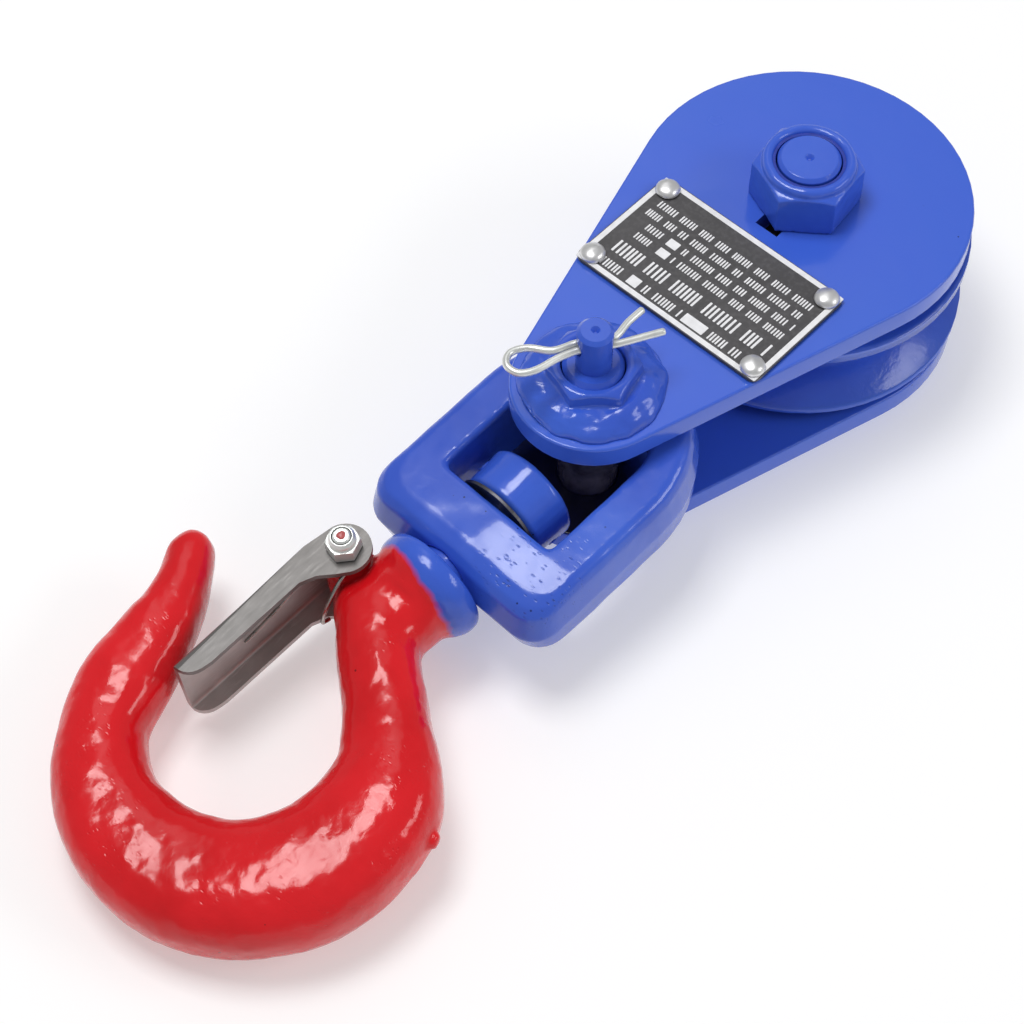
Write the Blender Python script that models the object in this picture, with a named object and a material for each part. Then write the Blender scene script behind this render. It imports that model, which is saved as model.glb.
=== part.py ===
"""Crane hook block of the snatch type: two teardrop side plates round one grooved sheave, with a
closed forged link on the load pin and a swivelling, latched hook on the link.

The block lies on its side, as it does on a bench. +X runs from the sheave to the hook, +Z is the
axis of the sheave, and the origin is the foot of that axis, on the flat end of the centre bolt's
head. The loose link droops, so the hook touches the bench as well as the two bolt heads.

Numbers are in millimetres; MM turns them into metres when a mesh is made.
"""

import math

import bmesh
import bpy
from mathutils import Vector

MM = 0.001
GAP = 0.3  # clearance between pieces that touch on the real block

# Stack of heights above the bench
HEAD_HEIGHT = 7.0
PLATE_THICKNESS = 5.8
PLATE_SPACING = 26.1
BACK_OUTER = HEAD_HEIGHT
BACK_INNER = BACK_OUTER + PLATE_THICKNESS
FRONT_INNER = BACK_INNER + PLATE_SPACING
FRONT_OUTER = FRONT_INNER + PLATE_THICKNESS
MID_HEIGHT = (BACK_INNER + FRONT_INNER) / 2

# Side plates
PLATE_BIG_RADIUS = 37.5
PLATE_SMALL_RADIUS = 17.6
PIN_X = 70.2  # load pin axis, from the sheave axis
KEYWAY_WIDTH = 6.0
KEYWAY_END_X = 13.2

# Sheave and its axle
SHEAVE_RADIUS = 38.1  # a 3 inch sheave
SHEAVE_WIDTH = 21.9
FLANGE_RIM = 3.1
GROOVE_RADIUS = 5.4  # for 3/8 inch wire rope, 4.8 mm in radius
GROOVE_DEPTH = 10.4
SHEAVE_EDGE = 0.8
SHEAVE_RECESS = 1.6  # the web stands back from the rims by this
SHEAVE_RIM_FACE = 5.0
HUB_RADIUS = 15.0
HUB_GAP = 1.0  # from the hub's face to the plate
BOLT_RADIUS = 7.0
BUSHING_RADIUS = 10.2
BUSHING_GAP = 0.4
BOLT_TOP = FRONT_OUTER + 12.8
CENTRE_NUT_FLATS = 21.5
CENTRE_NUT_TURN = math.radians(8)
CENTRE_NUT_HEX = 10.6  # height of the hexagon above the plate
CENTRE_NUT_HEIGHT = 12.2
COLLAR_RING_RADIUS = 10.3
INSERT_POCKET_RADIUS = 9.1
PUNCH_RADIUS = 1.0  # centre mark in the end of the bolt and of the pin
PUNCH_DEPTH = 0.5

# Load pin, its boss and its cotter
PIN_RADIUS = 6.6
PIN_END_RADIUS = 3.9
PIN_SHOULDER = FRONT_OUTER + 7.0
PIN_TOP = FRONT_OUTER + 18.0
BOSS_FLATS = 18.0
BOSS_HEIGHT = 7.2
BOSS_TURN = math.radians(14)
WELD_RADIUS = 15.9
WELD_HEIGHT = 3.7
WELD_STEPS = 48  # a multiple of 6, so that the bead's inside has the boss's corners
COTTER_WIRE = 0.8  # radius
COTTER_HEIGHT = FRONT_OUTER + 13.2
COTTER_HOLE = 2.05
COTTER_TURN = 145.0  # degrees, the direction of the hole
COTTER_LANE = 0.92  # each leg's offset from the middle of the hole
COTTER_EYE = [(7.2, -5.2), (10.2, -9.4), (13.6, -11.2), (16.3, -9.7), (16.3, -6.6), (13.4, -4.4), (8.0, -3.1)]
COTTER_LONG_LEG = [(-9.0, 1.3), (-13.6, 1.3)]
COTTER_BENT_LEG = [(-8.2, 6.1), (-12.4, 8.4)]

# Nameplate
NAMEPLATE_X = 32.5
NAMEPLATE_LENGTH = 30.6
NAMEPLATE_WIDTH = 50.7
NAMEPLATE_THICKNESS = 0.8
RIVET_INSET = 2.9
RIVET_RADIUS = 2.8
RIVET_SHANK = 1.2
RIVET_RISE = 1.7
RIVET_DEPTH = 2.5  # of the shank in the plate
NAMEPLATE_CORNER = 2.0

# Swivelling side: x runs from the load pin along the shank, z is square to the link's faces
LINK_DROOP = math.radians(7.0)
LINK_YAW = math.radians(-2.5)
LINK_HEIGHT = 26.7
LINK_THICKNESS = 20.0
LINK_HALF_WIDTH = 26.2
LINK_END_X = 45.8
LINK_END_DRAFT = 2.1  # the end face is rounder than the sides
LINK_CORNER = 6.5
LINK_SLACK_Y = 2.3  # the wide window lets the link sit a little to one side of the load pin
LINK_BACK_X = -20.4
LINK_CURVE_X = 8.0  # where the straight arms start to round into the back
WINDOW_HALF_WIDTH = 15.0
WINDOW_END_X = 29.2
WINDOW_BACK_X = -9.0
WINDOW_CURVE_X = 4.0
WINDOW_CORNER = 1.6
# Height above the bottom face, and how far the outline draws in there
LINK_DRAFT = [(0.0, 3.0), (0.9, 1.6), (2.6, 0.8), (10.0, 0.0), (17.4, 0.8), (19.1, 1.6), (20.0, 3.0)]
# The same for the window, which opens out towards both faces
WINDOW_DRAFT = [(-0.5, 1.6), (0.9, 0.4), (10.0, 0.0), (19.1, 0.4), (20.5, 1.6)]
SHANK_Y = 1.0
SHANK_RADIUS = 6.5
SHANK_CENTRE = (SHANK_Y, 0.0)
SHANK_START = 17.6
SWIVEL_NUT_RADIUS = 11.4
SWIVEL_NUT_END = 27.8
SWIVEL_PIN_RADIUS = 1.4
SWIVEL_PIN_TURN = math.radians(-114)
COLLAR_START = 46.4
COLLAR_RADIUS = 12.8

# Latch, which turns on its bolt in the hook's lug
PIVOT = (58.5, -13.3)
LUG_RADIUS = 5.2
LUG_HALF_WIDTH = 6.3
EAR_RADIUS = 5.8
LATCH_SHEET = 1.4
LATCH_TOP = 11.0
LATCH_BOTTOM = -8.8  # nearer to the lug than the top ear, which leaves room for the spring
LATCH_WEB_Y = -19.2
LATCH_EDGE_Y = -14.3
LATCH_END_X = 101.0
LATCH_BOLT_RADIUS = 2.0
LATCH_NUT_FLATS = 6.7
LATCH_NUT_TURN = math.radians(20)
LATCH_HEAD_HEIGHT = 2.6
LATCH_NUT_HEX = 3.2
LATCH_NUT_HEIGHT = 4.9
LATCH_NUT_COLLAR = 2.95  # radius
LATCH_BOLT_PROUD = 5.6  # above the upper ear
LATCH_BEND_OUTSIDE = 2.0
LATCH_BEND_INSIDE = 0.7
SPRING_WIRE = 0.45  # radius
SPRING_COIL = 3.3
SPRING_PITCH = 1.1
SPRING_TURNS = 1.5
SPRING_BOTTOM = 6.95
SPRING_STEPS = 14  # points in one turn of the coil
SPRING_WEB_LEG = [
    (85.0, -17.7, 0.2), (77.0, -17.7, 1.4), (69.5, -17.4, 4.4), (64.6, -17.1, 6.8), (61.5, -16.8, 6.95)
]
SPRING_NECK_LEG = [
    (62.6, -9.8, 8.6), (66.6, -9.2, 6.6), (69.6, -9.0, 3.2),
    (70.6, -9.2, 0.2), (69.8, -9.4, -1.0), (68.6, -9.4, -1.4),
]

COLOURS = {
    "blue_paint": ((0.035, 0.075, 0.60), 0.22, 0.0),
    "red_paint": ((0.62, 0.010, 0.016), 0.2, 0.0),
    "bare_steel": ((0.36, 0.33, 0.30), 0.42, 1.0),
    "zinc_plate": ((0.66, 0.67, 0.66), 0.28, 1.0),
    "dark_steel": ((0.09, 0.09, 0.11), 0.45, 1.0),
    "bronze": ((0.62, 0.36, 0.13), 0.35, 1.0),
    "nylon": ((0.04, 0.07, 0.30), 0.4, 0.0),
    "sign_plate": ((0.10, 0.10, 0.105), 0.4, 0.0),
}


def clear_scene():
    for obj in list(bpy.data.objects):
        bpy.data.objects.remove(obj, do_unlink=True)


def material(name):
    found = bpy.data.materials.get(name)
    if found:
        return found
    colour, roughness, metallic = COLOURS[name]
    made = bpy.data.materials.new(name)
    made.use_nodes = True
    shader = made.node_tree.nodes["Principled BSDF"]
    shader.inputs["Base Color"].default_value = (*colour, 1.0)
    shader.inputs["Roughness"].default_value = roughness
    shader.inputs["Metallic"].default_value = metallic
    made.diffuse_color = (*colour, 1.0)
    return made


def empty(name, location, rotation=(0.0, 0.0, 0.0), parent=None):
    made = bpy.data.objects.new(name, None)
    bpy.context.scene.collection.objects.link(made)
    made.location = Vector(location) * MM
    made.rotation_euler = rotation
    made.parent = parent
    return made


def add(name, shape, slot, parent=None, smooth_angle=35.0):
    """Makes the object from a bmesh in millimetres."""
    bmesh.ops.remove_doubles(shape, verts=shape.verts, dist=1e-4)
    bmesh.ops.recalc_face_normals(shape, faces=shape.faces)
    bmesh.ops.scale(shape, vec=(MM, MM, MM), verts=shape.verts)
    mesh = bpy.data.meshes.new(name)
    shape.to_mesh(mesh)
    shape.free()
    mesh.shade_smooth()
    mesh.set_sharp_from_angle(angle=math.radians(smooth_angle))
    obj = bpy.data.objects.new(name, mesh)
    bpy.context.scene.collection.objects.link(obj)
    obj.parent = parent
    if slot:
        mesh.materials.append(material(slot))
    return obj


def helper(name, shape, parent=None):
    """A cutter or a joining shape: an object that only a Boolean uses."""
    obj = add(name, shape, None, parent)
    obj.hide_render = True
    obj.display_type = "WIRE"
    return obj


def boolean(obj, other, operation="DIFFERENCE"):
    modifier = obj.modifiers.new(other.name, "BOOLEAN")
    modifier.operation = operation
    modifier.solver = "EXACT"
    modifier.object = other


def bevel(obj, width, segments=1, angle=40.0):
    modifier = obj.modifiers.new("edges", "BEVEL")
    modifier.width = width * MM
    modifier.segments = segments
    modifier.limit_method = "ANGLE"
    modifier.angle_limit = math.radians(angle)


def arc(centre, radius, start, end, count):
    """Points on an arc, both ends included; angles in degrees, radius a number or a pair."""
    rx, ry = radius if isinstance(radius, tuple) else (radius, radius)
    points = []
    for i in range(count + 1):
        a = math.radians(start + (end - start) * i / count)
        points.append((centre[0] + rx * math.cos(a), centre[1] + ry * math.sin(a)))
    return points


def loft(rings, close_ends=True):
    """Skins equal rings of points, and closes both ends."""
    shape = bmesh.new()
    made = [[shape.verts.new(point) for point in ring] for ring in rings]
    count = len(rings[0])
    for lower, upper in zip(made, made[1:]):
        for i in range(count):
            j = (i + 1) % count
            shape.faces.new((lower[i], lower[j], upper[j], upper[i]))
    if close_ends:
        shape.faces.new(made[0])
        shape.faces.new(made[-1])
    return shape


def prism(outline, bottom, top):
    return loft([[(x, y, z) for x, y in outline] for z in (bottom, top)])


def place(axis, radial, tangential, along):
    """A point given round the z axis, turned so that it stands round the x axis instead if asked."""
    if axis == "X":
        return (along, radial, tangential)
    return (radial, tangential, along)


def turned(profile, steps=48, axis="Z", centre=(0.0, 0.0)):
    """Turns a closed profile of (radius, height) round its axis; radius 0 makes a pole."""
    shape = bmesh.new()
    columns = []
    for radius, height in profile:
        ring = []
        for k in range(steps if radius > 0 else 1):
            a = 2 * math.pi * k / steps
            point = place(axis, centre[0] + radius * math.cos(a), centre[1] + radius * math.sin(a), height)
            ring.append(shape.verts.new(point))
        columns.append(ring)
    for lower, upper in zip(columns, columns[1:] + columns[:1]):
        for k in range(steps):
            corners = [lower[k % len(lower)], lower[(k + 1) % len(lower)]]
            corners += [upper[(k + 1) % len(upper)], upper[k % len(upper)]]
            corners = list(dict.fromkeys(corners))
            if len(corners) > 2:
                shape.faces.new(corners)
    return shape


def rod(radius, bottom, top, chamfer=0.0, steps=32, axis="Z", centre=(0.0, 0.0)):
    """A solid bar with an optional chamfer at its top."""
    profile = [(0, bottom), (radius, bottom), (radius, top - chamfer)]
    if chamfer:
        profile.append((radius - chamfer, top))
    else:
        profile[-1] = (radius, top)
    profile.append((0, top))
    return turned(profile, steps, axis, centre)


def hexagon(flats, turn=0.0, centre=(0.0, 0.0)):
    radius = flats / math.sqrt(3)
    points = []
    for k in range(6):
        a = turn + k * math.pi / 3
        points.append((centre[0] + radius * math.cos(a), centre[1] + radius * math.sin(a)))
    return points


def corner_trim(name, flats, bottom, top, chamfer, parent=None, centre=(0.0, 0.0), both=False):
    """A turned shape that takes the corners off a hexagon at its top, or at both ends."""
    corner = flats / math.sqrt(3)
    wide = corner + 0.3
    slope = chamfer * 0.75
    if both:
        profile = [(0, bottom), (corner - chamfer, bottom), (wide, bottom + slope)]
    else:
        profile = [(0, bottom - 0.5), (wide, bottom - 0.5)]
    profile += [(wide, top - slope), (corner - chamfer, top), (0, top)]
    return helper(name, turned(profile, 36, "Z", centre), parent)


def catmull_point(a, b, c, d, t):
    """One point of a Catmull-Rom curve, at t between b and c."""
    point = []
    for p, q, r, s in zip(a, b, c, d):
        square = 2 * p - 5 * q + 4 * r - s
        cube = 3 * q - p - 3 * r + s
        point.append(0.5 * (2 * q + (r - p) * t + square * t * t + cube * t ** 3))
    return tuple(point)


def catmull(points, parts):
    """A smooth run through the points, with `parts` steps between neighbours."""
    ends = [points[0]] + list(points) + [points[-1]]
    smooth = []
    for a, b, c, d in zip(ends, ends[1:], ends[2:], ends[3:]):
        for k in range(parts):
            smooth.append(catmull_point(a, b, c, d, k / parts))
    smooth.append(tuple(points[-1]))
    return smooth


def wire(name, route, radius, slot, parent):
    """A round wire along the route."""
    curve = bpy.data.curves.new(name, "CURVE")
    curve.dimensions = "3D"
    curve.bevel_depth = radius * MM
    curve.bevel_resolution = 2
    curve.use_fill_caps = True
    spline = curve.splines.new("POLY")
    spline.points.add(len(route) - 1)
    for point, place_at in zip(spline.points, route):
        point.co = (*(Vector(place_at) * MM), 1.0)
    curve.materials.append(material(slot))
    obj = bpy.data.objects.new(name, curve)
    bpy.context.scene.collection.objects.link(obj)
    obj.parent = parent
    return obj


# ---------------------------------------------------------------- side plates


def teardrop():
    """The outline shared by both plates: two arcs and their common tangents."""
    lean = math.degrees(math.asin((PLATE_BIG_RADIUS - PLATE_SMALL_RADIUS) / PIN_X))
    big = arc((0, 0), PLATE_BIG_RADIUS, 90 - lean, 270 + lean, 36)
    small = arc((PIN_X, 0), PLATE_SMALL_RADIUS, -90 + lean, 90 - lean, 20)
    return big + small


def side_plates(hinge_sheave):
    back = add("back_side_plate", prism(teardrop(), BACK_OUTER, BACK_INNER), "blue_paint")
    front = add("front_side_plate", prism(teardrop(), FRONT_OUTER - PLATE_THICKNESS, FRONT_OUTER), "blue_paint")
    bolt_hole = helper("cut_bolt_hole", rod(BOLT_RADIUS + GAP, -5, 70, steps=40), hinge_sheave)
    pin_hole = helper("cut_pin_hole", rod(PIN_RADIUS + GAP, -5, 70, steps=32, centre=(PIN_X, 0)))
    half = KEYWAY_WIDTH / 2
    key_outline = [(0, -half), (KEYWAY_END_X, -half), (KEYWAY_END_X, half), (0, half)]
    keyway = helper("cut_keyway", prism(key_outline, FRONT_INNER - 2, FRONT_OUTER + 2))
    bevel(back, 0.6, 2)
    bevel(front, 0.6, 2)
    for plate in (back, front):
        boolean(plate, bolt_hole)
        boolean(plate, pin_hole)
    boolean(front, keyway)
    return front


# ---------------------------------------------------------------- sheave and axle


def groove(centre_height):
    """The rope groove from the lower rim edge to the upper one: flared walls on a round seat."""
    mouth = SHEAVE_WIDTH / 2 - FLANGE_RIM
    seat_centre = SHEAVE_RADIUS - GROOVE_DEPTH + GROOVE_RADIUS
    flare = math.degrees(math.atan2(mouth - GROOVE_RADIUS, SHEAVE_RADIUS - seat_centre)) + 3
    seat = []
    for k in range(9):
        a = math.radians(flare + (180 - 2 * flare) * k / 8)
        seat.append((seat_centre - GROOVE_RADIUS * math.sin(a), centre_height - GROOVE_RADIUS * math.cos(a)))
    return [(SHEAVE_RADIUS, centre_height - mouth)] + seat + [(SHEAVE_RADIUS, centre_height + mouth)]


def sheave_face(face, side):
    """The side of the wheel from its hub out to its rim; side is -1 below and 1 above."""
    web = face - side * SHEAVE_RECESS
    hub = BACK_INNER + HUB_GAP if side < 0 else FRONT_INNER - HUB_GAP
    points = [(BUSHING_RADIUS + GAP, hub), (HUB_RADIUS, hub), (HUB_RADIUS + 1.5, web)]
    points += [(SHEAVE_RADIUS - SHEAVE_RIM_FACE - 2.0, web), (SHEAVE_RADIUS - SHEAVE_RIM_FACE, face)]
    points += [(SHEAVE_RADIUS - SHEAVE_EDGE, face), (SHEAVE_RADIUS, face - side * SHEAVE_EDGE)]
    return points


def sheave_wheel(hinge):
    lower = sheave_face(MID_HEIGHT - SHEAVE_WIDTH / 2, -1)
    upper = sheave_face(MID_HEIGHT + SHEAVE_WIDTH / 2, 1)
    add("sheave", turned(lower + groove(MID_HEIGHT) + upper[::-1], 56), "blue_paint", hinge)


def sheave_bushing(hinge):
    low = BACK_INNER + BUSHING_GAP
    high = FRONT_INNER - BUSHING_GAP
    inner = BOLT_RADIUS + GAP
    profile = [(inner, high), (inner, low), (BUSHING_RADIUS, low), (BUSHING_RADIUS, high)]
    add("sheave_bushing", turned(profile, 40), "bronze", hinge)


def punched_end(radius, top, chamfer):
    """The end of a bar: a chamfer, a flat face and a centre punch mark."""
    points = [(radius, top - chamfer), (radius - chamfer, top), (PUNCH_RADIUS, top)]
    return points + [(0.3, top - PUNCH_DEPTH), (0, top - PUNCH_DEPTH)]


def hex_head(name, flats, turn, height, chamfer, parent=None):
    """A hexagon head that stands on the bench, with both its ends turned down at the corners."""
    head = add(name, prism(hexagon(flats, turn), 0, height), "blue_paint", parent)
    trim = corner_trim("trim_" + name, flats, 0, height, chamfer, parent, both=True)
    boolean(head, trim, "INTERSECT")
    return head


def centre_bolt():
    bolt = hex_head("centre_bolt", CENTRE_NUT_FLATS, 0.0, HEAD_HEIGHT - GAP, 1.4)
    profile = [(0, 0.5), (BOLT_RADIUS, 0.5)] + punched_end(BOLT_RADIUS, BOLT_TOP, 0.8)
    boolean(bolt, helper("join_bolt_shank", turned(profile, 40)), "UNION")


def centre_lock_nut():
    base = FRONT_OUTER + GAP
    hex_top = FRONT_OUTER + CENTRE_NUT_HEX
    top = FRONT_OUTER + CENTRE_NUT_HEIGHT
    seat = BOLT_RADIUS + GAP
    ring = COLLAR_RING_RADIUS
    pocket = INSERT_POCKET_RADIUS
    nut = add("centre_lock_nut", prism(hexagon(CENTRE_NUT_FLATS, CENTRE_NUT_TURN), base, hex_top), "blue_paint")
    boolean(nut, corner_trim("trim_nut", CENTRE_NUT_FLATS, base, hex_top, 1.5), "INTERSECT")
    collar = [(0, hex_top - 2), (ring, hex_top - 2), (ring, top - 1.0), (ring - 0.8, top), (0, top)]
    boolean(nut, helper("join_nut_collar", turned(collar, 40)), "UNION")
    bore = [(0, base - 1), (seat, base - 1), (seat, hex_top - GAP), (pocket, hex_top - GAP)]
    bore += [(pocket, top + 1), (0, top + 1)]
    boolean(nut, helper("cut_nut_bore", turned(bore, 40)))
    high = top - 0.5
    insert = [(seat, high), (seat, hex_top), (pocket - GAP, hex_top), (pocket - GAP, high)]
    add("lock_nut_insert", turned(insert, 40), "nylon")


# ---------------------------------------------------------------- load pin, boss, weld and cotter


def load_pin(hinge):
    pin = hex_head("load_pin", BOSS_FLATS, math.pi / 6, HEAD_HEIGHT - GAP, 1.2, hinge)
    profile = [(0, 0.5), (PIN_RADIUS, 0.5), (PIN_RADIUS, PIN_SHOULDER - 1.0), (PIN_RADIUS - 1.0, PIN_SHOULDER)]
    profile += [(PIN_END_RADIUS, PIN_SHOULDER)] + punched_end(PIN_END_RADIUS, PIN_TOP, 0.8)
    boolean(pin, helper("join_pin_shank", turned(profile, 36), hinge), "UNION")
    cutter = helper("cut_cotter_hole", rod(COTTER_HOLE, -8, 8, steps=20, axis="X"), hinge)
    cutter.location.z = COTTER_HEIGHT * MM
    cutter.rotation_euler.z = math.radians(COTTER_TURN)
    boolean(pin, cutter)


def pin_boss(hinge):
    base = FRONT_OUTER + GAP
    top = FRONT_OUTER + BOSS_HEIGHT
    seat = PIN_RADIUS + GAP
    boss = add("pin_boss", prism(hexagon(BOSS_FLATS, BOSS_TURN), base, top), "blue_paint", hinge)
    boolean(boss, corner_trim("trim_boss", BOSS_FLATS, base, top, 1.6, hinge), "INTERSECT")
    bore = [(0, base - 1), (seat, base - 1), (seat, top - 0.6), (seat + 0.8, top + 0.2), (0, top + 0.2)]
    boolean(boss, helper("cut_boss_bore", turned(bore, 36), hinge))


def weld_reach(angle):
    """How far the bead spreads at this angle: an uneven hand-laid fillet."""
    return WELD_RADIUS - 0.35 + 0.35 * math.sin(3 * angle + 0.6) + 0.2 * math.sin(7 * angle + 2.0)


def pin_boss_weld(hinge):
    """A convex fillet bead round the foot of the boss, whose inside follows the boss's flats."""
    base = FRONT_OUTER + GAP
    rings = []
    for k in range(WELD_STEPS):
        turn = 2 * math.pi * k / WELD_STEPS
        from_flat = math.radians(30) - turn % math.radians(60)
        inner = (BOSS_FLATS / 2 + GAP) / math.cos(from_flat)
        a = BOSS_TURN + turn
        reach = weld_reach(a)
        height = WELD_HEIGHT + 0.3 * math.sin(5 * a)
        section = [(inner, 0), (reach, 0), (reach - 0.5, height * 0.45), (reach - 2.0, height * 0.8)]
        section += [(inner + 1.3, height), (inner, height)]
        rings.append([(r * math.cos(a), r * math.sin(a), base + z) for r, z in section])
    shape = loft(rings + [rings[0]], close_ends=False)
    add("pin_boss_weld", shape, "blue_paint", hinge)


def in_cotter_hole(distance, side):
    """A point on one leg's lane through the pin's hole."""
    a = math.radians(COTTER_TURN)
    lane = side * COTTER_LANE
    return (math.cos(a) * distance - math.sin(a) * lane, math.sin(a) * distance + math.cos(a) * lane)


def cotter_pin(hinge):
    """A split pin: one leg, through the hole, round the eye, back through the hole, other leg."""
    inside = (4.6, 1.5, -2.0, -4.2)
    route = COTTER_LONG_LEG[::-1] + [in_cotter_hole(d, 1) for d in inside] + COTTER_EYE
    route += [in_cotter_hole(d, -1) for d in inside[::-1]] + COTTER_BENT_LEG
    smooth = catmull([(x, y, COTTER_HEIGHT) for x, y in route], 3)
    wire("cotter_pin", smooth, COTTER_WIRE, "zinc_plate", hinge)


# ---------------------------------------------------------------- nameplate


def nameplate(front):
    half_x = NAMEPLATE_LENGTH / 2
    half_y = NAMEPLATE_WIDTH / 2
    corner = NAMEPLATE_CORNER
    outline = []
    for sx, sy, start in ((1, 1, 0), (-1, 1, 90), (-1, -1, 180), (1, -1, 270)):
        centre = (NAMEPLATE_X + sx * (half_x - corner), sy * (half_y - corner))
        outline += arc(centre, corner, start, start + 90, 4)
    base = FRONT_OUTER + GAP
    top = base + NAMEPLATE_THICKNESS
    plate = add("nameplate", prism(outline, base, top), "sign_plate")
    count = 0
    for sx in (-1, 1):
        for sy in (-1, 1):
            count += 1
            spot = (NAMEPLATE_X + sx * (half_x - RIVET_INSET), sy * (half_y - RIVET_INSET))
            hole = rod(RIVET_SHANK + GAP, FRONT_OUTER - 3.0, top + 2, steps=16, centre=spot)
            cutter = helper(f"cut_rivet_{count}", hole)
            boolean(plate, cutter)
            boolean(front, cutter)
            rivet(f"nameplate_rivet_{count}", spot, top + GAP)


def rivet(name, spot, seat):
    foot = FRONT_OUTER - RIVET_DEPTH
    profile = [(0, foot), (RIVET_SHANK, foot), (RIVET_SHANK, seat)]
    profile += [(r, seat + z) for r, z in arc((0, 0), (RIVET_RADIUS, RIVET_RISE), 0, 68, 3)]
    profile.append((0, seat + RIVET_RISE))
    add(name, turned(profile, 20, centre=spot), "zinc_plate")


# ---------------------------------------------------------------- link


def link_outline(inset):
    half = LINK_HALF_WIDTH - inset
    end = LINK_END_X - inset * LINK_END_DRAFT
    corner = LINK_CORNER
    back = arc((LINK_CURVE_X, 0), (LINK_CURVE_X - LINK_BACK_X - inset, half), 90, 270, 22)
    right = arc((end - corner, -half + corner), corner, -90, 0, 6)
    left = arc((end - corner, half - corner), corner, 0, 90, 6)
    return [(x, y + LINK_SLACK_Y) for x, y in back + right + left]


def window_outline(spread):
    half = WINDOW_HALF_WIDTH + spread
    end = WINDOW_END_X + spread
    corner = WINDOW_CORNER
    back = arc((WINDOW_CURVE_X, 0), (WINDOW_CURVE_X - WINDOW_BACK_X + spread, half), 90, 270, 18)
    right = arc((end - corner, -half + corner), corner, -90, 0, 3)
    left = arc((end - corner, half - corner), corner, 0, 90, 3)
    return [(x, y + LINK_SLACK_Y) for x, y in back + right + left]


def swivel_link(hinge):
    """The closed forging that hangs on the load pin: drafted faces, a part line at mid height."""
    foot = -LINK_THICKNESS / 2
    rings = [[(x, y, foot + z) for x, y in link_outline(inset)] for z, inset in LINK_DRAFT]
    link = add("swivel_link", loft(rings), "blue_paint", hinge)
    rings = [[(x, y, foot + z) for x, y in window_outline(spread)] for z, spread in WINDOW_DRAFT]
    boolean(link, helper("cut_window", loft(rings), hinge))
    bore = rod(SHANK_RADIUS + GAP, WINDOW_END_X - 3, LINK_END_X + 3, steps=36, axis="X", centre=SHANK_CENTRE)
    boolean(link, helper("cut_shank_bore", bore, hinge))


# ---------------------------------------------------------------- hook

# Each station of the neck and of the point: inner side, outer side, half thickness
NECK = [
    ((53.0, -10.9), (53.0, 10.9), 10.4),
    ((58.4, -11.2), (57.4, 11.1), 8.7),
    ((65.2, -11.2), (61.6, 11.5), 8.7),
    ((71.4, -4.2), (66.0, 16.9), 8.9),
    ((77.4, 2.9), (69.6, 22.1), 8.9),
    ((83.3, 10.0), (73.4, 27.8), 9.0),
    ((87.9, 14.5), (78.5, 34.7), 9.3),
]
POINT = [
    ((108.0, -19.0), (119.5, -34.3), 8.8),
    ((101.5, -21.2), (110.0, -38.2), 8.3),
    ((94.5, -24.4), (101.5, -39.4), 7.7),
    ((88.0, -28.2), (93.3, -40.6), 7.0),
    ((82.5, -31.8), (86.0, -42.8), 6.3),
    ((78.3, -35.0), (80.6, -46.2), 5.9),
    ((75.8, -37.3), (76.7, -46.2), 5.0),
    ((74.2, -39.2), (74.5, -45.0), 3.3),
    ((73.7, -41.2), (73.8, -43.3), 1.4),
]
BOWL_INNER = ((98.7, -2.3), 20.3)
BOWL_OUTER = ((102.7, 4.0), 41.1)
BOWL_FROM = 112.0
BOWL_TO = -46.0
BOWL_STATIONS = 9
BOWL_HALF_THICKNESS = 10.6
SECTION_POINTS = 20
SADDLE_SKEW = 0.14  # the section is fatter on the inside of the bowl


def on_circle(circle, degrees):
    (x, y), radius = circle
    a = math.radians(degrees)
    return (x + radius * math.cos(a), y + radius * math.sin(a))


def hook_stations():
    """Neck, bowl and point in order; the bowl lies between two circles that aren't concentric."""
    bowl = []
    for k in range(BOWL_STATIONS):
        share = k / (BOWL_STATIONS - 1)
        degrees = BOWL_FROM + (BOWL_TO - BOWL_FROM) * share
        towards_neck = 0.7 * (1 - math.sin(math.pi * min(1.0, share * 1.6 + 0.12)))
        towards_point = max(0.0, share - 0.55)
        half = BOWL_HALF_THICKNESS - towards_neck - towards_point
        bowl.append((on_circle(BOWL_INNER, degrees), on_circle(BOWL_OUTER, degrees), half))
    return NECK + bowl + POINT


def hook_body():
    rows = catmull([(*inner, *outer, half) for inner, outer, half in hook_stations()], 2)
    rings = []
    for ix, iy, ox, oy, half in rows:
        middle = Vector(((ix + ox) / 2, (iy + oy) / 2))
        reach = (Vector((ix, iy)) - Vector((ox, oy))) / 2
        ring = []
        for k in range(SECTION_POINTS):
            t = 2 * math.pi * k / SECTION_POINTS
            spot = middle + reach * math.cos(t)
            ring.append((spot.x, spot.y, half * math.sin(t) * (1 + SADDLE_SKEW * math.cos(t))))
        rings.append(ring)
    return loft(rings)


def shank_and_collar():
    shank = SHANK_RADIUS
    collar = COLLAR_RADIUS
    profile = [(0, SHANK_START), (shank - 0.8, SHANK_START), (shank, SHANK_START + 0.8), (shank, COLLAR_START)]
    profile += [(collar - 1.0, COLLAR_START), (collar, COLLAR_START + 1.0), (collar, COLLAR_START + 3.6)]
    profile += [(collar - 1.6, COLLAR_START + 6.0), (collar - 3.4, COLLAR_START + 9.0), (0, COLLAR_START + 9.0)]
    return turned(profile, 36, "X", SHANK_CENTRE)


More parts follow.
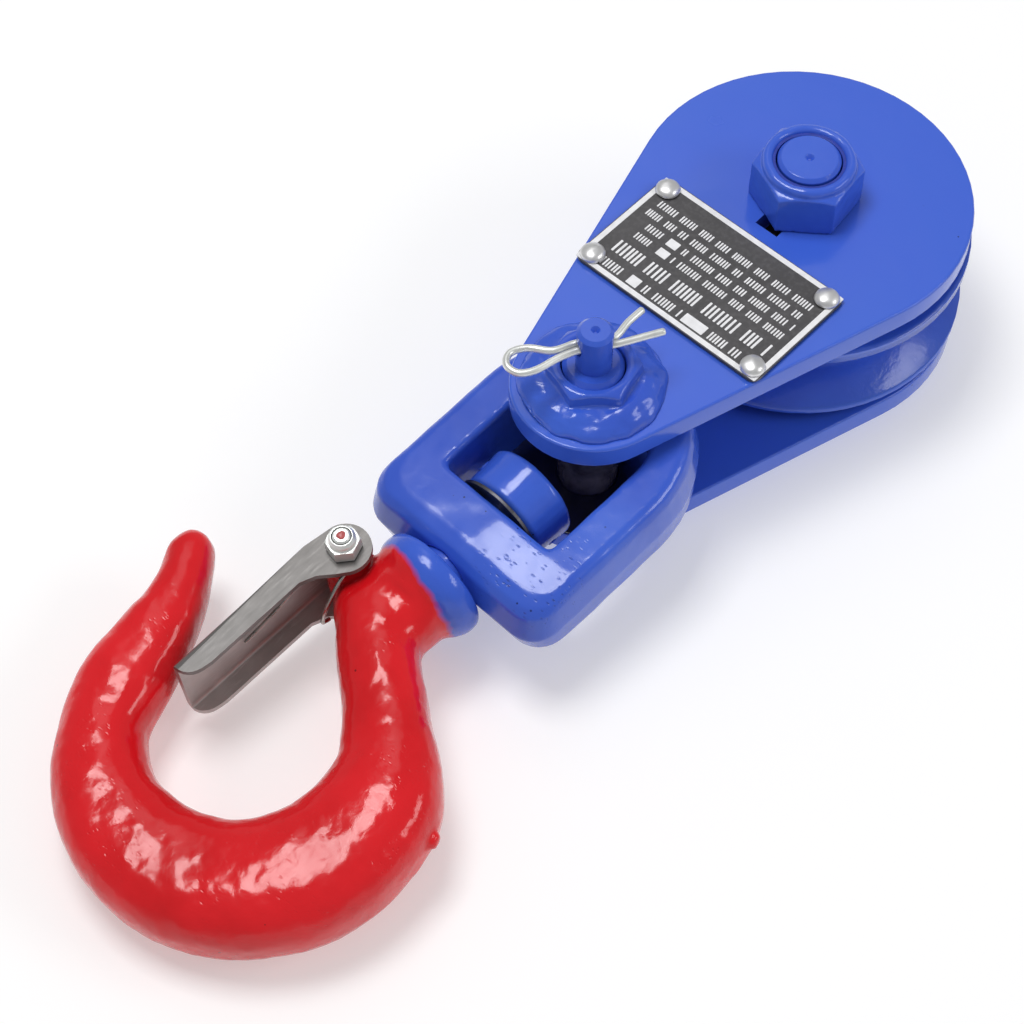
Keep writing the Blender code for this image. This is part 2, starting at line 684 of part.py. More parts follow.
def crane_hook(hinge):
    hook = add("crane_hook", hook_body(), "red_paint", hinge)
    lug = rod(LUG_RADIUS, -LUG_HALF_WIDTH, LUG_HALF_WIDTH, steps=28, centre=PIVOT)
    bolt_hole = rod(LATCH_BOLT_RADIUS + GAP, -20, 20, steps=20, centre=PIVOT)
    boolean(hook, helper("join_shank", shank_and_collar(), hinge), "UNION")
    boolean(hook, helper("join_lug", lug, hinge), "UNION")
    boolean(hook, helper("cut_latch_bolt", bolt_hole, hinge))
    return hook


def swivel_pieces(hinge, hook):
    """Nut, its cross pin and the washer that carry the hook inside the link."""
    inner = SHANK_RADIUS + GAP
    outer = SWIVEL_NUT_RADIUS
    low = SHANK_START
    high = SWIVEL_NUT_END
    profile = [(inner, high), (inner, low), (outer - 0.9, low), (outer, low + 0.9)]
    profile += [(outer, high - 0.9), (outer - 0.9, high)]
    nut = add("swivel_nut", turned(profile, 40, "X", SHANK_CENTRE), "blue_paint", hinge)
    hole = helper("cut_swivel_pin", rod(SWIVEL_PIN_RADIUS + GAP, -15, 15, steps=16), hinge)
    pin = add("swivel_nut_pin", rod(SWIVEL_PIN_RADIUS, -11.0, 11.0, 0.3, steps=16), "blue_paint", hinge)
    for obj in (hole, pin):
        obj.location = Vector(((low + high) / 2, SHANK_Y, 0)) * MM
        obj.rotation_euler.x = SWIVEL_PIN_TURN
    boolean(nut, hole)
    boolean(hook, hole)
    low = SWIVEL_NUT_END + GAP
    high = WINDOW_END_X - GAP
    profile = [(inner, high), (inner, low), (outer - 0.2, low), (outer - 0.2, high)]
    add("swivel_washer", turned(profile, 36, "X", SHANK_CENTRE), "dark_steel", hinge)


# ---------------------------------------------------------------- latch


def latch_outline():
    """The latch from the side, from the web's near end round the ear to the free end."""
    web = LATCH_WEB_Y - LATCH_SHEET / 2
    outline = [(64.0, web)]
    outline += arc(PIVOT, EAR_RADIUS, -108, -302, 20)
    outline += [(64.2, -10.4), (67.0, -12.9), (70.5, LATCH_EDGE_Y)]
    outline += [(LATCH_END_X - 6.0, LATCH_EDGE_Y)]
    outline += arc((LATCH_END_X - 4.5, web + 1.3), (4.5, LATCH_EDGE_Y - web - 1.6), 80, 8, 5)
    outline += [(LATCH_END_X, web)]
    return [(x - PIVOT[0], y - PIVOT[1]) for x, y in outline]


def bend_edges(shape, floor, radius):
    """Rounds the two long bends of a channel whose web lies at y = floor."""
    bends = [
        edge for edge in shape.edges
        if all(abs(v.co.y - floor) < 0.01 for v in edge.verts) and abs(edge.verts[0].co.z - edge.verts[1].co.z) < 0.01
    ]
    bmesh.ops.bevel(shape, geom=bends, offset=radius, segments=3, affect="EDGES", profile=0.5)


def hook_latch(hinge):
    """A folded channel: a web along the throat and two flanges that end in ears."""
    web_outside = LATCH_WEB_Y - LATCH_SHEET / 2 - PIVOT[1]
    web_inside = web_outside + LATCH_SHEET
    shape = prism(latch_outline(), LATCH_BOTTOM, LATCH_TOP)
    bend_edges(shape, web_outside, LATCH_BEND_OUTSIDE)
    latch = add("hook_latch", shape, "bare_steel", hinge)
    outline = [(-20, web_inside), (60, web_inside), (60, 20), (-20, 20)]
    room = prism(outline, LATCH_BOTTOM + LATCH_SHEET, LATCH_TOP - LATCH_SHEET)
    bend_edges(room, web_inside, LATCH_BEND_INSIDE)
    holes = rod(LATCH_BOLT_RADIUS + GAP, -20, 20, steps=20)
    boolean(latch, helper("cut_latch_room", room, hinge))
    boolean(latch, helper("cut_latch_holes", holes, hinge))


def latch_bolt(hinge):
    head_top = LATCH_BOTTOM - GAP
    head = prism(hexagon(LATCH_NUT_FLATS, LATCH_NUT_TURN, PIVOT), head_top - LATCH_HEAD_HEIGHT, head_top)
    shank = rod(LATCH_BOLT_RADIUS, head_top - 1, LATCH_TOP + LATCH_BOLT_PROUD, 0.4, 20, centre=PIVOT)
    bolt = add("latch_bolt", head, "zinc_plate", hinge)
    boolean(bolt, helper("join_latch_bolt", shank, hinge), "UNION")


def latch_nut(hinge):
    """A small lock nut with a round collar above its hexagon."""
    base = LATCH_TOP + GAP
    hex_top = base + LATCH_NUT_HEX
    top = base + LATCH_NUT_HEIGHT
    ring = LATCH_NUT_COLLAR
    body = prism(hexagon(LATCH_NUT_FLATS, LATCH_NUT_TURN, PIVOT), base, hex_top)
    nut = add("latch_nut", body, "zinc_plate", hinge)
    trim = corner_trim("trim_latch_nut", LATCH_NUT_FLATS, base, hex_top, 0.5, hinge, PIVOT)
    collar = [(0, hex_top - 1), (ring, hex_top - 1), (ring, top - 0.7), (ring - 0.55, top), (0, top)]
    bore = rod(LATCH_BOLT_RADIUS + 0.2, base - 1, top + 1, steps=20, centre=PIVOT)
    boolean(nut, trim, "INTERSECT")
    boolean(nut, helper("join_latch_collar", turned(collar, 24, "Z", PIVOT), hinge), "UNION")
    boolean(nut, helper("cut_latch_nut", bore, hinge))


def latch_spring(hinge):
    """Torsion spring: one leg bears on the latch's web, the coil is on the bolt, one leg on the neck."""
    coil = []
    for k in range(int(SPRING_STEPS * SPRING_TURNS) + 1):
        a = -math.pi / 2 - 2 * math.pi * k / SPRING_STEPS
        z = SPRING_BOTTOM + SPRING_PITCH * k / SPRING_STEPS
        coil.append((PIVOT[0] + SPRING_COIL * math.cos(a), PIVOT[1] + SPRING_COIL * math.sin(a), z))
    route = catmull(SPRING_WEB_LEG + coil[:1], 3)[:-1] + coil[:-1] + catmull(coil[-1:] + SPRING_NECK_LEG, 3)
    wire("latch_spring", route, SPRING_WIRE, "bare_steel", hinge)


def build():
    clear_scene()
    sheave_hinge = empty("axis_sheave", (0, 0, 0))
    pin_frame = empty("axis_load_pin", (PIN_X, 0, 0))
    link_hinge = empty("axis_link", (PIN_X, 0, LINK_HEIGHT), (0.0, LINK_DROOP, LINK_YAW))
    latch_hinge = empty("axis_latch", (*PIVOT, 0), parent=link_hinge)
    front = side_plates(sheave_hinge)
    sheave_wheel(sheave_hinge)
    sheave_bushing(sheave_hinge)
    centre_bolt()
    centre_lock_nut()
    load_pin(pin_frame)
    pin_boss(pin_frame)
    pin_boss_weld(pin_frame)
    cotter_pin(pin_frame)
    nameplate(front)
    swivel_link(link_hinge)
    hook = crane_hook(link_hinge)
    swivel_pieces(link_hinge, hook)
    hook_latch(latch_hinge)
    latch_bolt(link_hinge)
    latch_nut(link_hinge)
    latch_spring(link_hinge)


build()
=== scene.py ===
"""The looks of the crane hook block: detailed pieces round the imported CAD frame, materials, light and camera.

Lengths are in millimetres where a name ends in _mm or a comment says so, and in metres elsewhere.
"""

import math

import bmesh
import bpy
import numpy as np
from mathutils import Euler, Matrix, Vector, noise


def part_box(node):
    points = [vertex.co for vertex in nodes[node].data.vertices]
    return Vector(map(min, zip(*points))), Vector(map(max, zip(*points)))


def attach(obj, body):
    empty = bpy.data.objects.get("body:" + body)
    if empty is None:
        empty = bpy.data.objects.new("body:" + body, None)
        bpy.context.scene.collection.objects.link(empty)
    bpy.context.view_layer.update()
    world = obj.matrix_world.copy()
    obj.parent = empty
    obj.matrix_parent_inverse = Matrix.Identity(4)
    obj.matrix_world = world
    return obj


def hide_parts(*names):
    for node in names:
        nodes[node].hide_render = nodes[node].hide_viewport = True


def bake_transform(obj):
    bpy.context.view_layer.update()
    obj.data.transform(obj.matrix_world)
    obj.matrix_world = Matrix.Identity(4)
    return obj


MM = 0.001
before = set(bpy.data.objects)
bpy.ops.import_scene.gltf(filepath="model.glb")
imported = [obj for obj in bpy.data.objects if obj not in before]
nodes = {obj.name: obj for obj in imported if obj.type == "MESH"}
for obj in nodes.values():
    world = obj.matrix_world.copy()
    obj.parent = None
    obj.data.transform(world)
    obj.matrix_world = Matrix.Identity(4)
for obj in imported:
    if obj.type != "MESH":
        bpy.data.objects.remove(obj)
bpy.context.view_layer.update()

# The link's own frame: x runs from the load pin along the shank, z is square to its faces
PIN_X_MM = 70.2
LINK_Z_MM = 26.7
DROOP = math.radians(7.0)
SIDE_TURN = math.radians(-2.5)
QUARTER = math.radians(90)
LINK_AT = Matrix.Translation((PIN_X_MM * MM, 0.0, LINK_Z_MM * MM))
LINK = LINK_AT @ Euler((0.0, DROOP, SIDE_TURN)).to_matrix().to_4x4()
LATCH_PIVOT_MM = (58.5, -13.3)


# ------------------------------------------------------------------ node graph helpers


class Graph:
    """A short way to write a material's node tree."""

    def __init__(self, tree):
        self.tree = tree

    def node(self, kind, inputs=None, **settings):
        made = self.tree.nodes.new(kind)
        for name, value in settings.items():
            setattr(made, name, value)
        for key, value in (inputs or {}).items():
            socket = made.inputs[key]
            if isinstance(value, bpy.types.NodeSocket):
                self.tree.links.new(value, socket)
            else:
                socket.default_value = value
        return made

    def math(self, operation, a, b=0.0, clamp=False):
        return self.node("ShaderNodeMath", {0: a, 1: b}, operation=operation, use_clamp=clamp).outputs[0]

    def noise(self, scale, detail=3.0, roughness=0.5, distortion=0.0, vector=None):
        inputs = {"Scale": scale, "Detail": detail, "Roughness": roughness, "Distortion": distortion}
        inputs["Vector"] = vector or self.place()
        return self.node("ShaderNodeTexNoise", inputs).outputs["Fac"]

    def place(self):
        return self.node("ShaderNodeTexCoord").outputs["Object"]

    def distance(self, point):
        """The distance from a point of the object, in metres."""
        inputs = {0: self.place(), 1: point}
        return self.node("ShaderNodeVectorMath", inputs, operation="DISTANCE").outputs["Value"]

    def height(self):
        return self.node("ShaderNodeSeparateXYZ", {"Vector": self.place()}).outputs["Z"]

    def link_place(self):
        """The place in the link's own frame, at rest."""
        turn = LINK.to_euler()
        move = self.node("ShaderNodeMapping", {"Vector": self.place()}, vector_type="TEXTURE")
        move.inputs["Location"].default_value = LINK.translation
        move.inputs["Rotation"].default_value = (turn.x, turn.y, turn.z)
        return self.node("ShaderNodeSeparateXYZ", {"Vector": move.outputs[0]}).outputs

    def ramp(self, factor, stops, interpolation="LINEAR"):
        made = self.node("ShaderNodeValToRGB", {"Fac": factor})
        made.color_ramp.interpolation = interpolation
        elements = made.color_ramp.elements
        while len(elements) < len(stops):
            elements.new(0.5)
        for element, (position, colour) in zip(elements, stops):
            element.position = position
            element.color = (*colour, 1.0) if isinstance(colour, tuple) else (colour, colour, colour, 1.0)
        return made.outputs["Color"]

    def range(self, value, low, high, to_low=0.0, to_high=1.0):
        inputs = {"Value": value, "From Min": low, "From Max": high, "To Min": to_low, "To Max": to_high}
        return self.node("ShaderNodeMapRange", inputs, clamp=True).outputs[0]

    def mix(self, factor, a, b, blend="MIX"):
        made = self.tree.nodes.new("ShaderNodeMix")
        made.data_type = "RGBA"
        made.blend_type = blend
        for index, value in ((0, factor), (6, a), (7, b)):
            socket = made.inputs[index]
            if isinstance(value, bpy.types.NodeSocket):
                self.tree.links.new(value, socket)
            elif isinstance(value, tuple):
                socket.default_value = (*value, 1.0)
            else:
                socket.default_value = value
        return made.outputs[2]

    def bump(self, height, strength, distance_mm, under=None):
        inputs = {"Height": height, "Strength": strength, "Distance": distance_mm * MM}
        if under is not None:
            inputs["Normal"] = under
        return self.node("ShaderNodeBump", inputs).outputs["Normal"]


def new_material(name):
    made = bpy.data.materials.new(name)
    made.use_nodes = True
    graph = Graph(made.node_tree)
    shader = made.node_tree.nodes["Principled BSDF"]
    return made, graph, shader


def wire_up(graph, shader, **sockets):
    """Links or sets the shader's sockets."""
    names = {"colour": "Base Color", "rough": "Roughness", "metal": "Metallic", "normal": "Normal"}
    for key, value in sockets.items():
        socket = shader.inputs[names[key]]
        if isinstance(value, bpy.types.NodeSocket):
            graph.tree.links.new(value, socket)
        elif isinstance(value, tuple):
            socket.default_value = (*value, 1.0)
        else:
            socket.default_value = value


# ------------------------------------------------------------------ materials

BLUE = (0.046, 0.126, 0.64)
BLUE_DEEP = (0.036, 0.094, 0.55)
RED = (0.76, 0.012, 0.019)
RED_DEEP = (0.60, 0.006, 0.010)


def paint_normal(graph, waves_mm, ripple_mm, peel_mm, pits_mm, pitted=None):
    """Paint over a rough casting: slow waves, runs a few millimetres wide, orange peel and pits."""
    normal = graph.bump(graph.noise(110.0, 2.0, 0.5, 0.4), 1.0, waves_mm)
    normal = graph.bump(graph.noise(330.0, 2.0, 0.5, 0.6), 1.0, ripple_mm, normal)
    normal = graph.bump(graph.noise(900.0, 3.0, 0.55), 1.0, peel_mm, normal)
    if pits_mm:
        depth = dents(graph, pitted)
        normal = graph.bump(graph.math("MULTIPLY", depth, -1.0), 1.0, pits_mm, normal)
    return normal


def dents(graph, pitted=None):
    """Short dents, 1 inside them and 0 outside: near the point pitted, or else here and there."""
    flow = graph.node("ShaderNodeMapping", {"Vector": graph.place()})
    flow.inputs["Rotation"].default_value = (0.0, 0.0, 0.5)
    flow.inputs["Scale"].default_value = (1.0, 0.42, 1.0)
    spots = graph.node("ShaderNodeTexVoronoi", {"Vector": flow.outputs[0], "Scale": 1150.0})
    here = graph.range(graph.noise(80.0, 2.0), 0.50, 0.58)
    if pitted:
        here = graph.range(graph.distance(pitted), 0.016, 0.007)
        here = graph.math("MULTIPLY", here, graph.range(graph.noise(420.0, 2.0), 0.42, 0.58))
    holes = graph.range(spots.outputs["Distance"], 0.10, 0.30)
    return graph.math("MULTIPLY", graph.math("SUBTRACT", 1.0, holes), here)


def specked(graph, body, dark, scale):
    """Adds rare dark specks of grit under the paint."""
    spots = graph.node("ShaderNodeTexVoronoi", {"Vector": graph.place(), "Scale": scale})
    speck = graph.math("LESS_THAN", spots.outputs["Distance"], 0.05)
    rare = graph.range(graph.noise(45.0, 1.0), 0.56, 0.60)
    return graph.mix(graph.math("MULTIPLY", speck, rare), body, dark)


COAT_WEIGHT = 0.22
COAT_ROUGHNESS = 0.06
BLUE_SPECULAR = 0.36
RED_SPECULAR = 0.29


def gloss(graph, shader, low, high, specular=BLUE_SPECULAR):
    """The sheen of thick paint: roughness in clouds between low and high under a thin clear coat."""
    rough = graph.range(graph.noise(90.0, 3.0), 0.3, 0.75, low, high)
    wire_up(graph, shader, rough=rough)
    shader.inputs["Coat Weight"].default_value = COAT_WEIGHT
    shader.inputs["Coat Roughness"].default_value = COAT_ROUGHNESS
    shader.inputs["Specular IOR Level"].default_value = specular


def paint(name, colour, deep, *relief):
    """Glossy paint.

    relief is the depth in mm of its waves, ripples, orange peel and pits, and the point the pits are near.
    """
    made, graph, shader = new_material(name)
    body = graph.mix(graph.range(graph.noise(38.0, 4.0, 0.55), 0.35, 0.7), deep, colour)
    body = specked(graph, body, tuple(c * 0.3 for c in deep), 210.0)
    if len(relief) > 4:
        # Painted shade darkens the inside of the pits.
        shade = graph.math("MULTIPLY", dents(graph, relief[4]), 0.6)
        body = graph.mix(shade, body, tuple(c * 0.3 for c in deep))
    wire_up(graph, shader, colour=body, normal=paint_normal(graph, *relief))
    gloss(graph, shader, 0.14, 0.28)
    return made


def grease_and_shade(made, centre, near_mm, far_mm):
    """Spreads dark grease and painted shade over a paint round a point of an upper face, deep between the
    parts.
    """
    graph = Graph(made.node_tree)
    shader = made.node_tree.nodes["Principled BSDF"]
    away = graph.distance(centre)
    edge = graph.math("MULTIPLY", graph.math("SUBTRACT", graph.noise(120.0, 3.0, 0.6), 0.5), 0.012)
    cover = graph.range(graph.math("ADD", away, edge), far_mm * MM, near_mm * MM)
    upper = graph.range(graph.height(), centre[2] - 0.5 * MM, centre[2] - 0.1 * MM)
    cover = graph.math("MULTIPLY", cover, upper)
    body = shader.inputs["Base Color"].links[0].from_socket
    # The near black blue of grease and painted shade.
    smear = graph.mix(graph.noise(260.0, 4.0, 0.6), (0.006, 0.006, 0.018), (0.022, 0.022, 0.060))
    wire_up(graph, shader, colour=graph.mix(cover, body, smear))
    return made


RED_FROM_MM = 52.5  # the red paint starts this far along the shank


def hook_paint(name):
    """Red paint that stops in an uneven line at the blue collar."""
    made, graph, shader = new_material(name)
    along = graph.link_place()
    wobble = graph.math("SUBTRACT", graph.noise(95.0, 3.0, 0.6), 0.5)
    wobble = graph.math("MULTIPLY", wobble, 0.0042)
    lean = graph.math("MULTIPLY", along["Y"], 0.10)
    reach = graph.math("ADD", graph.math("SUBTRACT", along["X"], lean), wobble)
    is_red = graph.range(reach, (RED_FROM_MM - 0.6) * MM, (RED_FROM_MM + 0.6) * MM)
    cloud = graph.range(graph.noise(38.0, 4.0, 0.55), 0.35, 0.7)
    red = specked(graph, graph.mix(cloud, RED_DEEP, RED), (0.20, 0.003, 0.005), 190.0)
    blue = graph.mix(cloud, BLUE_DEEP, BLUE)
    normal = paint_normal(graph, 0.22, 0.085, 0.016, 0.05)
    wire_up(graph, shader, colour=graph.mix(is_red, blue, red), normal=normal)
    gloss(graph, shader, 0.12, 0.24, RED_SPECULAR)
    return made


BARREL_MM = (7.2, 44.0)  # the heights between which the load pin is coloured dark


def pin_finish(name):
    """A painted pin whose barrel, between the plates, is coloured a dark, smeared grey-blue."""
    made, graph, shader = new_material(name)
    height = graph.height()
    edge = graph.math("MULTIPLY", graph.math("SUBTRACT", graph.noise(200.0, 2.0), 0.5), 0.002)
    height = graph.math("ADD", height, edge)
    above = graph.range(height, BARREL_MM[1] * MM, (BARREL_MM[1] + 0.6) * MM)
    below = graph.range(height, BARREL_MM[0] * MM, (BARREL_MM[0] - 0.6) * MM)
    painted = graph.math("ADD", above, below, clamp=True)
    smear = graph.noise(140.0, 4.0, 0.6, 0.5)
    dark_barrel = graph.mix(graph.range(smear, 0.35, 0.65), (0.036, 0.032, 0.055), (0.105, 0.098, 0.145))
    blue = graph.mix(graph.range(graph.noise(38.0, 4.0, 0.55), 0.35, 0.7), BLUE_DEEP, BLUE)
    normal = paint_normal(graph, 0.06, 0.02, 0.008, 0.0)
    wire_up(graph, shader, colour=graph.mix(painted, dark_barrel, blue), normal=normal)
    gloss(graph, shader, 0.14, 0.28)
    return made


def steel(name, tones, roughness, scratch_scale, scratch_turn=0.0, metal=1.0, painted_shade_above=None):
    """Bare or plated metal: cloudy between two tones, with long fine scratches.

    painted_shade_above is the height in the link's frame, in metres, above which it is darkened with painted
    shade.
    """
    light, dark = tones
    rough_low, rough_high = roughness
    made, graph, shader = new_material(name)
    turn = graph.node("ShaderNodeMapping", {"Vector": graph.place()})
    turn.inputs["Rotation"].default_value = (0.0, 0.0, scratch_turn)
    turn.inputs["Scale"].default_value = (0.06, 1.0, 1.0)
    scratch = graph.noise(scratch_scale, 3.0, 0.6, vector=turn.outputs[0])
    cloud = graph.noise(150.0, 4.0, 0.6)
    tone = graph.mix(graph.range(cloud, 0.32, 0.68), dark, light)
    worn = graph.range(scratch, 0.58, 0.72)
    bright = tuple(min(1.0, c * 1.25) for c in light)
    tone = graph.mix(graph.math("MULTIPLY", worn, 0.6), tone, bright)
    if painted_shade_above:
        # Painted shade: above that height the tone is darkened towards near black.
        top = graph.range(graph.link_place()["Z"], painted_shade_above - 0.0006, painted_shade_above)
        tone = graph.mix(graph.math("MULTIPLY", top, 0.74), tone, (0.05, 0.048, 0.046))
    rough = graph.range(scratch, 0.3, 0.7, rough_high, rough_low)
    normal = graph.bump(scratch, 0.25, 0.04)
    normal = graph.bump(cloud, 0.25, 0.05, normal)
    wire_up(graph, shader, colour=tone, rough=rough, metal=metal, normal=normal)
    return made


def sign_field(name):
    made, graph, shader = new_material(name)
    grain = graph.noise(900.0, 2.0)
    cloud = graph.noise(70.0, 3.0)
    tone = graph.mix(graph.range(cloud, 0.3, 0.7), (0.050, 0.048, 0.051), (0.072, 0.069, 0.073))
    tone = graph.mix(graph.range(grain, 0.45, 0.8, 0.0, 0.35), tone, (0.15, 0.145, 0.15))
    rough = graph.range(grain, 0.3, 0.7, 0.32, 0.46)
    wire_up(graph, shader, colour=tone, rough=rough, normal=graph.bump(grain, 0.2, 0.03))
    return made


def enamel(name, colour):
    """The pale print on the sign."""
    made, graph, shader = new_material(name)
    grain = graph.noise(500.0, 3.0)
    tone = graph.mix(graph.range(grain, 0.35, 0.75), colour, tuple(c * 0.86 for c in colour))
    rough = graph.range(grain, 0.3, 0.7, 0.28, 0.42)
    wire_up(graph, shader, colour=tone, rough=rough, normal=graph.bump(grain, 0.15, 0.02))
    return made


def plastic(name, colour):
    made, graph, shader = new_material(name)
    grain = graph.noise(700.0, 3.0)
    tone = graph.mix(graph.range(grain, 0.3, 0.7), colour, tuple(c * 0.7 for c in colour))
    rough = graph.range(grain, 0.3, 0.7, 0.25, 0.42)
    wire_up(graph, shader, colour=tone, rough=rough, normal=graph.bump(grain, 0.25, 0.04))
    return made


PLATE_DEEP = (0.047, 0.121, 0.64)
TURNED_DEEP = (0.040, 0.106, 0.60)
PLATE_RELIEF_MM = (0.05, 0.010, 0.004, 0.0)
# The back plate's upper face round the load pin, under the link's window, gets grease and painted shade.
GREASE_AND_SHADE_AT = (0.0765, 0.0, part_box("back_side_plate")[1].z)
GREASE_AND_SHADE_REACH_MM = (14.0, 22.0)
PITS_AT = LINK @ Vector((0.0375, 0.0205, 0.0125))

MATERIALS = {
    "plate": paint("plate_paint", BLUE, PLATE_DEEP, *PLATE_RELIEF_MM),
    "inner_plate": grease_and_shade(
        paint("grease_and_shade_plate_paint", BLUE, PLATE_DEEP, *PLATE_RELIEF_MM), GREASE_AND_SHADE_AT, *GREASE_AND_SHADE_REACH_MM,
    ),
    "cast": paint("forged_paint", BLUE, BLUE_DEEP, 0.07, 0.022, 0.007, 0.13, PITS_AT),
    "bead": paint("weld_paint", BLUE, BLUE_DEEP, 0.20, 0.085, 0.012, 0.0),
    "wheel": paint("wheel_paint", BLUE, BLUE_DEEP, 0.08, 0.080, 0.045, 0.0),
    "turned": paint("turned_paint", BLUE, TURNED_DEEP, 0.08, 0.028, 0.016, 0.0),
    "hook": hook_paint("hook_two_tone_paint"),
    "pin": pin_finish("load_pin_finish"),
    # The latch's light tones are steel and in part a painted reflection of the bright ground on its lower
    # faces; its top is darkened with painted shade.
    "latch": steel(
        "latch_steel", ((0.50, 0.475, 0.462), (0.41, 0.388, 0.376)), (0.33, 0.46), 1500.0,
        scratch_turn=0.04, metal=0.5, painted_shade_above=0.0092,
    ),
    "spring": steel("spring_steel", ((0.50, 0.48, 0.46), (0.30, 0.28, 0.26)), (0.2, 0.36), 900.0),
    "zinc": steel("zinc_plating", ((0.82, 0.84, 0.82), (0.70, 0.72, 0.70)), (0.26, 0.42), 700.0, metal=0.7),
    "rivet": steel("rivet_alloy", ((0.80, 0.80, 0.80), (0.66, 0.66, 0.67)), (0.28, 0.44), 500.0, metal=0.8),
    "dark": steel("dark_steel", ((0.16, 0.16, 0.18), (0.07, 0.07, 0.08)), (0.3, 0.5), 800.0),
    "bronze": steel("bushing_bronze", ((0.60, 0.36, 0.14), (0.42, 0.24, 0.09)), (0.25, 0.42), 1100.0),
    "field": sign_field("sign_field"),
    "print": enamel("sign_print", (0.86, 0.86, 0.88)),
    "nylon": plastic("nut_insert", (0.016, 0.045, 0.40)),
    "dot": enamel("paint_dot", (0.50, 0.10, 0.10)),
}


# ------------------------------------------------------------------ mesh helpers


def to_object(name, mesh, material, body, replaced=(), smooth_angle=None):
    obj = bpy.data.objects.new(name, mesh)
    bpy.context.scene.collection.objects.link(obj)
    mesh.materials.clear()
    mesh.materials.append(MATERIALS[material])
    mesh.shade_smooth()
    if smooth_angle:
        mesh.set_sharp_from_angle(angle=math.radians(smooth_angle))
    if body:
        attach(obj, body)
    if replaced:
        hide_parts(*replaced)
    return obj


def cad_shape(node):
    """The CAD node's mesh with its split vertices joined again."""
    shape = bmesh.new()
    shape.from_mesh(nodes[node].data)
    bmesh.ops.remove_doubles(shape, verts=shape.verts, dist=1e-6)
    return shape


def mesh_of(shape, name):
    """A mesh made from a bmesh, which is freed."""
    mesh = bpy.data.meshes.new(name)
    shape.to_mesh(mesh)
    shape.free()
    return mesh


def crisp(node, material, body, angle=32.0, bevel_mm=0.0, edit=None):
    """A smooth-shaded copy of a CAD node with its flat faces whole, and with its hard edges eased where
    bevel_mm is given.
    """
    shape = cad_shape(node)
    if edit:
        edit(shape)
    bmesh.ops.dissolve_limit(shape, angle_limit=math.radians(1.0), verts=shape.verts, edges=shape.edges)
    name = node + "_finish"
    obj = to_object(name, mesh_of(shape, name), material, body, (node,), angle)
    if bevel_mm:
        ease = obj.modifiers.new("eased_edges", "BEVEL")
        ease.width = bevel_mm * MM
        ease.segments = 3
        ease.limit_method = "ANGLE"
        ease.angle_limit = math.radians(35)
        ease.harden_normals = True
    weights = obj.modifiers.new("normals", "WEIGHTED_NORMAL")
    weights.keep_sharp = True
    return obj


def join_shapes(shapes):
    """Several bmeshes as one mesh."""
    whole = bmesh.new()
    for shape in shapes:
        part = mesh_of(shape, "part")
        whole.from_mesh(part)
        bpy.data.meshes.remove(part)
    bmesh.ops.recalc_face_normals(whole, faces=whole.faces)
    return mesh_of(whole, "joined")


def remeshed(mesh, voxel_mm, rounds):
    """Melts overlapping solids into one skin and relaxes it, as thick paint on a forging does."""
    obj = bpy.data.objects.new("work", mesh)
    bpy.context.scene.collection.objects.link(obj)
    melt = obj.modifiers.new("melt", "REMESH")
    melt.mode = "VOXEL"
    melt.voxel_size = voxel_mm * MM
    melt.use_smooth_shade = True
    if rounds:
        relax = obj.modifiers.new("relax", "SMOOTH")
        relax.factor = 0.5
        relax.iterations = rounds
    graph = bpy.context.evaluated_depsgraph_get()
    done = bpy.data.meshes.new_from_object(obj.evaluated_get(graph))
    bpy.data.objects.remove(obj)
    return done


def points_of(mesh):
    flat = np.empty(len(mesh.vertices) * 3, np.float32)
    mesh.vertices.foreach_get("co", flat)
    return flat.reshape(-1, 3).astype(float)


def set_points(mesh, points):
    mesh.vertices.foreach_set("co", points.astype(np.float32).ravel())
    mesh.update()


def link_points(mesh):
    """The mesh's points in the link's frame, in mm."""
    place = np.array(LINK)
    return (points_of(mesh) - place[:3, 3]) @ place[:3, :3] / MM


def set_link_points(mesh, local):
    place = np.array(LINK)
    set_points(mesh, local * MM @ place[:3, :3].T + place[:3, 3])


def normals_of(mesh):
    flat = np.empty(len(mesh.vertices) * 3, np.float32)
    mesh.vertex_normals.foreach_get("vector", flat)
    return flat.reshape(-1, 3).astype(float)


def lumps(mesh, layers, mask=None):
    """Pushes the skin in and out by layers of (height in mm, size in mm, seed)."""
    points = points_of(mesh)
    normals = normals_of(mesh)
    push = np.zeros(len(points))
    for height, size, seed in layers:
        scale = 1.0 / (size * MM)
        shift = Vector((seed * 1.7, seed * 0.9, seed * 2.3))
        push += height * np.array([noise.noise(Vector(p) * scale + shift) for p in points])
    if mask is not None:
        push *= mask(points)
    set_points(mesh, points + normals * (push * MM)[:, None])


def lathe(profile, steps, matrix):
    """Turns a closed profile of (radius, height) in mm round z, then places it."""
    shape = bmesh.new()
    columns = []
    for radius, height in profile:
        ring = []
        for k in range(steps if radius > 0 else 1):
            a = 2 * math.pi * k / steps
            spot = Vector((radius * math.cos(a), radius * math.sin(a), height)) * MM
            ring.append(shape.verts.new(matrix @ spot))
        columns.append(ring)
    for lower, upper in zip(columns, columns[1:] + columns[:1]):
        for k in range(steps):
            corners = [lower[k % len(lower)], lower[(k + 1) % len(lower)]]
            corners += [upper[(k + 1) % len(upper)], upper[k % len(upper)]]
            corners = list(dict.fromkeys(corners))
            if len(corners) > 2:
                shape.faces.new(corners)
    bmesh.ops.recalc_face_normals(shape, faces=shape.faces)
    return shape


def skinned(shape, rings):
    """Joins rings of equal count into a tube with closed ends."""
    count = len(rings[0])
    for lower, upper in zip(rings, rings[1:]):
        for i in range(count):
            j = (i + 1) % count
            shape.faces.new((lower[i], lower[j], upper[j], upper[i]))
    shape.faces.new(rings[0])
    shape.faces.new(rings[-1])
    bmesh.ops.recalc_face_normals(shape, faces=shape.faces)
    return shape


